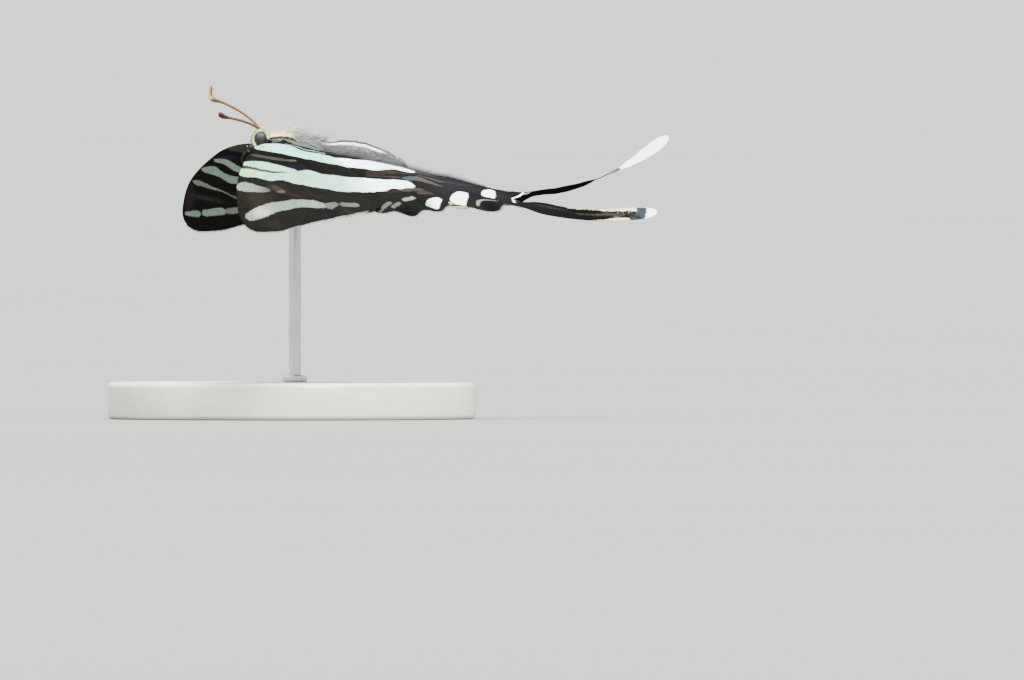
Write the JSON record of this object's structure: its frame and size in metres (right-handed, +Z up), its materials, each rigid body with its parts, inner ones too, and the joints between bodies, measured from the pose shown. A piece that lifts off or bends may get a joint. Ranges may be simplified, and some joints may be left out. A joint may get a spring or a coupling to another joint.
{
  "type": "zebra swallowtail butterfly on a display stand",
  "caption": "Life-size striped swallowtail butterfly with long tails, wings spread and drooping as in flight, held by a thin rod on a round flat base.",
  "frame": {"origin": "centre of the round base's underside, on the floor, straight below the wing hinges", "axes": "+X from the head towards the tails, +Y towards the butterfly's right side, +Z up"},
  "size_m": [0.0943, 0.0816, 0.0548],
  "materials": {
    "wing": "scaly membrane, brown-black with pale turquoise-white stripes",
    "body": "hairy, grey-white with dark and cream stripes",
    "eye": "dark slate blue, glossy",
    "antenna": "rust-orange",
    "leg": "finely scaled, brown and cream",
    "proboscis": "dark brown, satin",
    "base": "plain, satin painted",
    "rod": "brushed"
  },
  "bodies": {
    "root": {"abdomen": "body", "antenna_left": "antenna", "antenna_right": "antenna", "eye_left": "eye", "eye_right": "eye", "forewing_left": "wing", "forewing_right": "wing", "head": "body", "hindwing_left": "wing", "hindwing_right": "wing", "leg_front_left": "leg", "leg_front_right": "leg", "leg_hind_left": "leg", "leg_hind_right": "leg", "leg_mid_left": "leg", "leg_mid_right": "leg", "palp_left": "body", "palp_right": "body", "proboscis": "proboscis", "stand_base": "base", "stand_rod": "rod", "thorax": "body"}
  },
  "joints": []
}
